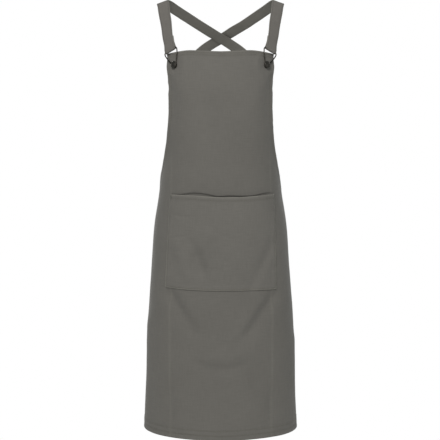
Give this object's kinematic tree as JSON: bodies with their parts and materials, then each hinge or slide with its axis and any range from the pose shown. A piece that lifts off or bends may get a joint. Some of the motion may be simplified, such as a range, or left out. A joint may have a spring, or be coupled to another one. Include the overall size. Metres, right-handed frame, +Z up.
{
  "type": "cross back apron",
  "caption": "Cotton bib apron that hangs from straps crossed behind the back, with a wide front pocket and wire buckles hooked over buttons at the bib",
  "frame": {"origin": "midway between the two places where the straps bear on the shoulders, at the height of their undersides", "axes": "+X the viewer's right seen from the front, -Y the front of the apron, +Z up along its length"},
  "size_m": [0.3549, 0.2637, 0.984],
  "materials": {
    "canvas": "plain woven grey cotton canvas, matt",
    "pocket_canvas": "plain woven grey cotton canvas, matt",
    "strap_canvas": "folded and stitched grey cotton canvas, matt",
    "buckle_wire": "bent wire with a dark gunmetal plating",
    "button_metal": "pressed tack button with a dark gunmetal plating"
  },
  "bodies": {
    "root": {"body_panel": "canvas", "pocket": "pocket_canvas", "strap_left": "strap_canvas", "strap_right": "strap_canvas", "buckle_left": "buckle_wire", "buckle_right": "buckle_wire", "button_left": "button_metal", "button_right": "button_metal"}
  },
  "joints": []
}
